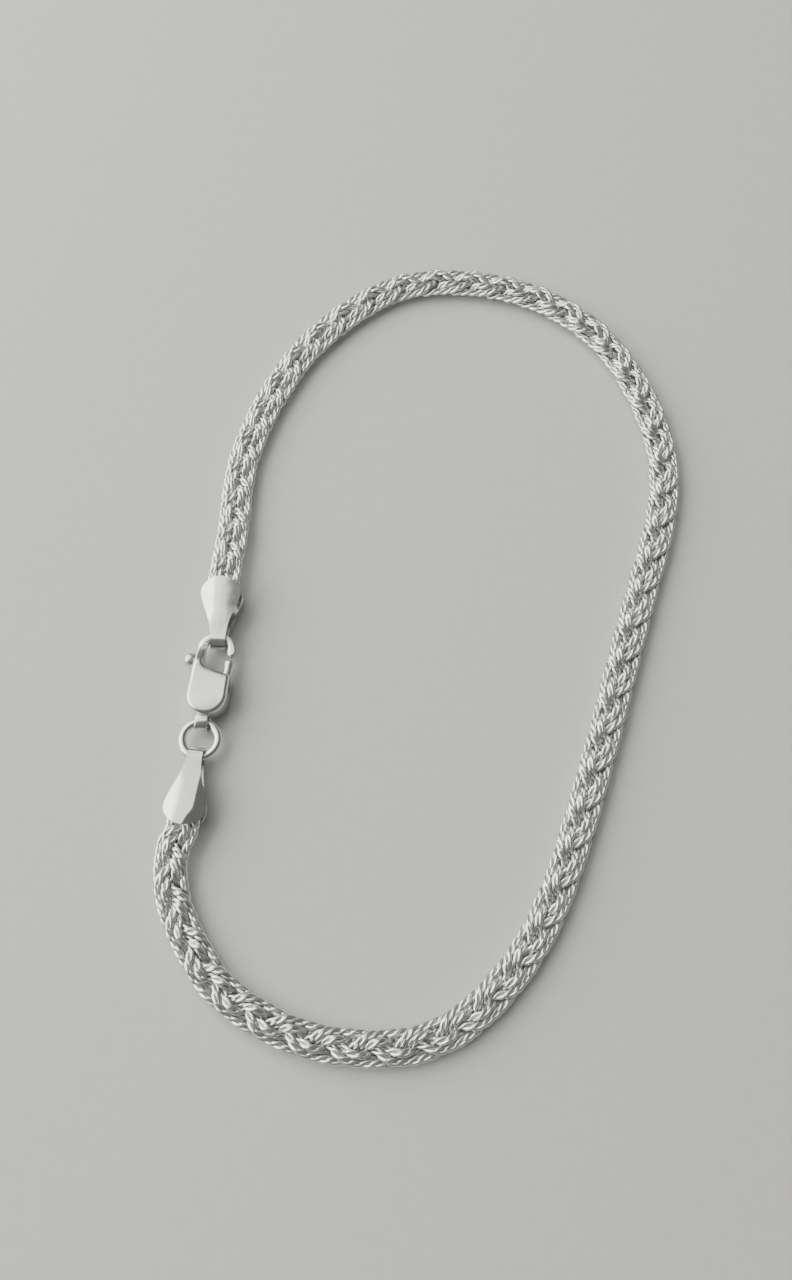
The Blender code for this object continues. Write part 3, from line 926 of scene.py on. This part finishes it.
@dataclass
class LobsterClasp:
    """The clasp's cast body with its hook, eye and slot, and the lever that closes it."""

    spot: Spot
    pivot: Point = (0.15, 2.40)
    thickness: float = 2.40
    length: float = 8.20
    width: float = 3.50
    floor: float = 0.48
    shoulder: float = 4.40
    hook_bar: float = 0.75
    hook_thickness: float = 0.90
    opening: float = 1.96
    squareness: float = 2.8
    aside: float = 0.17
    hook_tip: float = 6.12
    body_middle: float = 0.12
    corner_radius: float = 0.7
    rim: float = 0.345
    thinning: Point = (4.9, 2.3)
    eye_wall: float = 0.28
    eye_width: float = 1.10
    eye_hole: float = 0.63
    knob: Point = (-1.88, 5.56)
    knob_radius: float = 0.66
    elbow: Point = (1.44, 4.20)
    tip: Point = (1.53, 5.44)
    tip_radius: float = 0.47
    arm_radius: float = 0.38
    root_radii: Point = (0.44, 0.42)
    bulge: Point = (-0.25, 1.10)
    slot_half: float = 0.63
    knob_room: float = 0.52
    pin_radius: float = 0.29
    pin_reach: float = 0.7
    hub_radius: float = 0.62
    hub_room: float = 1.12
    crown_start: float = 2.6
    crown_rise: Point = (0.05, 0.11)
    slice_height: float = 0.25
    skin_size: float = 0.05

    def outline(self) -> list[Point]:
        """The body's outline from above: round bottom, spine, hook and opening."""
        half, m = self.width / 2, self.body_middle
        lift = self.hook_bar / 8
        arch_y = self.length - half - lift
        inner = self.opening / 2
        inner_x = m + self.aside
        top = self.length - self.hook_bar - inner
        side = [(m + half, self.shoulder - 0.35)]
        bottom = arc(m, self.floor + half, half, 0, -180, 40)
        arch = [(inner_x + (x - m) * (inner + self.hook_bar) / half, y + lift)
                for x, y in arc(m, arch_y, half, 165, 0, 36)]
        tip_x = inner_x + inner + self.hook_bar / 2
        tip = arc(tip_x, self.hook_tip + 0.3, self.hook_bar / 2 - 0.01, 0, -180, 10)
        power, steps = 2 / self.squareness, 30
        hole = []
        for i in range(1, steps + 1):
            x, y = math.cos(math.pi * i / steps), math.sin(math.pi * i / steps)
            hole.append((inner_x + math.copysign(inner * abs(x) ** power, x),
                         top + inner * max(0.0, y) ** power))
        radius = self.corner_radius
        corner = arc(inner_x - inner + radius, self.shoulder + 0.95, radius, 180, 258, 12)
        shoulder = [(m + half - 0.6, self.shoulder), (m + half - 0.15, self.shoulder - 0.12)]
        return side + bottom + arch + tip + hole + corner + shoulder

    def thin(self, x: float, y: float) -> float:
        """How thick the body is at a point.

        Args:
            x: The way across from the eye's middle.
            y: The way along from it.

        Returns:
            The thickness as a share of the full thickness.
        """
        start, length = self.thinning
        if x > self.body_middle + self.aside:
            start = self.hook_tip - length
        hook = 1 - (1 - self.hook_thickness / self.thickness) * smoothstep((y - start) / length)
        above, below = (max(0.0, way) / 2 for way in (y - self.crown_start, self.crown_start - y))
        crown = self.crown_rise[0] * min(1.6, above) ** 2 + self.crown_rise[1] * below ** 2
        return hook * (1 - crown)

    def cast(self) -> bpy.types.Object:
        """The body's slab in millimetres, thinned towards its hook."""
        body = slab("clasp_case", self.outline(), 0, self.thickness, self.rim, 7)
        work = bmesh.new()
        work.from_mesh(body.data)
        for k in range(1, math.ceil(self.length / self.slice_height) + 1):
            bmesh.ops.bisect_plane(work, geom=[*work.verts, *work.edges, *work.faces], dist=1e-5,
                                   plane_co=(0, k * self.slice_height, 0), plane_no=(0, 1, 0))
        middle = self.thickness / 2
        for vertex in work.verts:
            vertex.co.z = middle + (vertex.co.z - middle) * self.thin(vertex.co.x, vertex.co.y)
        work.to_mesh(body.data)
        work.free()
        return body

    def eye(self) -> Shape:
        """The eye's ring, with its hole along x."""
        wall = self.eye_wall / 2
        section = rounded_box(self.eye_width / 2, wall, 0.11)
        shape = Shape()
        shape.lathe([(x, r + self.eye_hole + wall) for x, r in section], 64, (0, 0, self.thickness / 2))
        return shape

    def slot(self) -> list[Point]:
        """The slot from above: round the hub, out past the knob and round the gate's swing."""
        px, py = self.pivot
        kx, ky = self.knob
        outside, inside, right = kx - 1.3, px - 0.6, px + 2.9
        ledge, top = ky + self.knob_room, self.hook_tip - 0.2
        return [*arc(px, py, self.hub_room, 0, -150, 20), (outside, py + 1.5), (outside, ledge),
                (kx + 0.7, ledge), (kx + 0.8, ky - 0.3), (inside, self.shoulder + 0.5),
                (inside, top), (right, top), (right, py + 1.0)]

    def pin(self) -> Shape:
        """The pin that the lever turns on."""
        middle = self.thickness / 2
        shape = Shape()
        shape.rod((*self.pivot, middle - self.pin_reach), (*self.pivot, middle + self.pin_reach),
                  self.pin_radius, self.pin_radius)
        return shape

    def make_body(self) -> bpy.types.Object:
        """The cast body with its eye, slot and pin, in millimetres."""
        body = self.cast()
        combine(body, self.eye().loose("clasp_eye"), "UNION")
        middle = self.thickness / 2
        cut = slab("clasp_slot", self.slot(), middle - self.slot_half, middle + self.slot_half, 0.02, 1)
        combine(body, cut, "DIFFERENCE")
        combine(body, self.pin().loose("clasp_pin"), "UNION")
        return body

    def make_lever(self) -> bpy.types.Object:
        """The lever as joined rods and balls, grown together."""
        middle = self.thickness / 2
        px, py = self.pivot
        shape = Shape()
        shape.rod((px, py, middle - 0.05), (px, py, middle + 0.05), self.hub_radius, self.hub_radius)
        arm, tip = self.arm_radius, self.tip_radius
        pivot, knob = (px, py, middle), (*self.knob, middle)
        elbow, end = (*self.elbow, middle), (*self.tip, middle)
        bend = (px + self.bulge[0], py + self.bulge[1], middle)
        shape.rod(pivot, bend, self.root_radii[0], arm)
        shape.rod(bend, knob, arm, arm)
        shape.rod(pivot, elbow, self.root_radii[1], arm)
        shape.rod(elbow, end, arm, tip)
        shape.rod(knob, knob, self.knob_radius, self.knob_radius)
        lever = shape.piece("clasp_gate", self.spot)
        skin = lever.modifiers.new("skin", "REMESH")
        skin.mode, skin.voxel_size = "VOXEL", self.skin_size * MM
        calm = lever.modifiers.new("calm", "SMOOTH")
        calm.factor, calm.iterations = 0.5, 4
        apply_modifiers(lever)
        return lever

    def build(self) -> list[bpy.types.Object]:
        """Makes and dresses the body and the lever."""
        body = self.make_body()
        body.data.transform(self.spot.matrix())
        even = body.modifiers.new("even", "WEIGHTED_NORMAL")
        even.keep_sharp, even.weight = True, 80
        dress(body, CLASP_SILVER.build(), CLASP_SILVER, "closed_loop", "clasp_body")
        lever = dress(self.make_lever(), LEVER_SILVER.build(), LEVER_SILVER, "lever", "clasp_lever",
                      sharp=180)
        return [body, lever]


@dataclass
class JumpRing:
    """A round wire ring with its closed seam."""

    spot: Spot
    diameter: float = 3.80
    wire: float = 0.72
    seam_turn: float = 281.25
    seam_width: float = 3.1
    seam_depth: float = 0.05
    steps: int = 128
    sides: int = 28

    def build(self) -> bpy.types.Object:
        """Makes and dresses the ring."""
        shape = Shape()
        radius = (self.diameter - self.wire) / 2
        rows = []
        for k in range(self.steps):
            t = 2 * math.pi * k / self.steps
            seam = math.exp(-((math.degrees(t) - self.seam_turn) / self.seam_width) ** 2)
            wire = self.wire / 2 * (1 - self.seam_depth * seam)
            out = Vector((math.cos(t), math.sin(t), 0))
            rows.append([out * (radius + wire * math.cos(a)) + Vector((0, 0, wire * math.sin(a)))
                         for a in (2 * math.pi * i / self.sides for i in range(self.sides))])
        shape.grid(rows, around=True, closed=True)
        ring = shape.piece("link_ring", self.spot)
        return dress(ring, RING_SILVER.build(), RING_SILVER, "closed_loop", "jump_ring", sharp=180)


# Studio


@dataclass(frozen=True)
class SoftLight:
    """A rectangular light with its place and size in metres and its power in watts."""

    name: str
    place: tuple[float, float, float]
    size: Point
    power: float
    tone: Tone


@dataclass
class Studio:
    """The pale table, soft lights and the camera."""

    target: tuple[float, float, float] = (-3.34, -1.94, 0.0)
    eye: tuple[float, float, float] = (-3.34, -37.9, 93.6)
    lens: float = 31.5
    floor_size: float = 6.0
    room_light: float = 0.15
    room_tone: Tone = (1.0, 0.995, 0.98)
    lights: tuple[SoftLight, ...] = (
        SoftLight("window", (-0.34, 0.10, 0.22), (0.70, 0.50), 4.2, (1.0, 0.99, 0.96)),
        SoftLight("top", (-0.09, 0.13, 0.50), (0.42, 0.21), 0.46, (1.0, 1.0, 0.98)),
        SoftLight("back", (-0.06, 0.36, 0.34), (0.40, 0.16), 0.20, (0.98, 1.0, 1.0)),
    )

    def floor(self) -> bpy.types.Object:
        """The table."""
        mesh = bpy.data.meshes.new("table")
        half = self.floor_size / 2
        mesh.from_pydata([(-half, -half, 0), (half, -half, 0), (half, half, 0), (-half, half, 0)], [],
                         [(0, 1, 2, 3)])
        table = bpy.data.objects.new("table", mesh)
        bpy.context.scene.collection.objects.link(table)
        mesh.materials.append(TableFinish().build())
        return table

    def light(self, light: SoftLight) -> None:
        """Adds a soft light that points at the bracelet.

        Args:
            light: The light's sizes and place.
        """
        data = bpy.data.lights.new(light.name, "AREA")
        data.shape, (data.size, data.size_y) = "RECTANGLE", light.size
        data.energy, data.color = light.power, light.tone
        lamp = bpy.data.objects.new(light.name, data)
        lamp.location = light.place
        lamp.rotation_mode = "QUATERNION"
        lamp.rotation_quaternion = (-Vector(light.place)).to_track_quat("-Z", "Y")
        bpy.context.scene.collection.objects.link(lamp)

    def world(self) -> None:
        """An even soft room light."""
        world = bpy.data.worlds.new("room")
        world.use_nodes = True
        back = world.node_tree.nodes["Background"]
        back.inputs["Color"].default_value = (*self.room_tone, 1.0)
        back.inputs["Strength"].default_value = self.room_light
        bpy.context.scene.world = world

    def camera(self) -> bpy.types.Object:
        """The camera at the photograph's angle."""
        data = bpy.data.cameras.new("camera")
        data.lens, data.sensor_width, data.sensor_fit = self.lens, 36.0, "AUTO"
        data.clip_start, data.clip_end = 0.005, 20.0
        camera = bpy.data.objects.new("camera", data)
        camera.location = Vector(self.eye) * MM
        camera.rotation_mode = "QUATERNION"
        way = Vector(self.target) - Vector(self.eye)
        camera.rotation_quaternion = way.to_track_quat("-Z", "Y")
        bpy.context.scene.collection.objects.link(camera)
        bpy.context.scene.camera = camera
        return camera

    def build(self) -> None:
        """Sets up the table, the lights and the camera."""
        self.floor()
        for light in self.lights:
            self.light(light)
        self.world()
        self.camera()


HOOKED_TAB = Spot(-18.982, -2.393, 268.5)
RING_TAB = Spot(-20.286, -13.067, 82.5)
CLASP = Spot(-19.949, -9.987, 85.0)
RING = Spot(-20.083, -11.521, 85.0, 1.2)
BRAID_END_REACH = 3.9
ROW_SHIFT = (-0.143, -0.141)
ROUTE = [
    (-18.2, 8.4), (-18.0, 12.3), (-17.5, 16.4), (-15.6, 22.1), (-12.2, 28.2), (-7.5, 33.0),
    (-2.6, 35.9), (2.8, 36.5), (8.3, 35.6), (13.2, 33.2), (17.4, 29.2), (20.4, 23.4),
    (21.8, 17.8), (21.8, 12.8), (20.6, 7.6), (18.6, 1.6), (16.2, -6.0), (14.2, -12.3),
    (11.9, -19.1), (9.6, -24.9), (6.6, -29.9), (2.6, -33.9), (-1.3, -35.8), (-5.6, -36.2),
    (-9.9, -35.6), (-13.7, -34.1), (-17.4, -31.5), (-20.1, -27.6), (-21.5, -24.1), (-21.6, -20.8),
]


def main() -> None:
    """Builds the bracelet and its studio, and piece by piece."""
    logging.basicConfig(level=logging.INFO, format="%(name)s: %(message)s")
    tab_silver = TAB_SILVER.build()
    FoldedTab("hooked_end_tab_leaves", HOOKED_TAB).build(tab_silver)
    FoldedTab("ring_end_tab_leaves", RING_TAB, slopes=(0.24, 0.70), softness=(0.25, 0.05),
              crease=0.84, crease_end=0.25, length=6.95, width=3.28).build(tab_silver)
    LobsterClasp(CLASP).build()
    JumpRing(RING).build()
    start = HOOKED_TAB.point(0, -BRAID_END_REACH)
    end = RING_TAB.point(0, -BRAID_END_REACH)
    route = [(x + ROW_SHIFT[0], y + ROW_SHIFT[1]) for x, y in ROUTE]
    Braid(tuple(start), HOOKED_TAB.heading - 180, tuple(end), RING_TAB.heading, route).build()
    Studio().build()


if __name__ == "__main__":
    main()
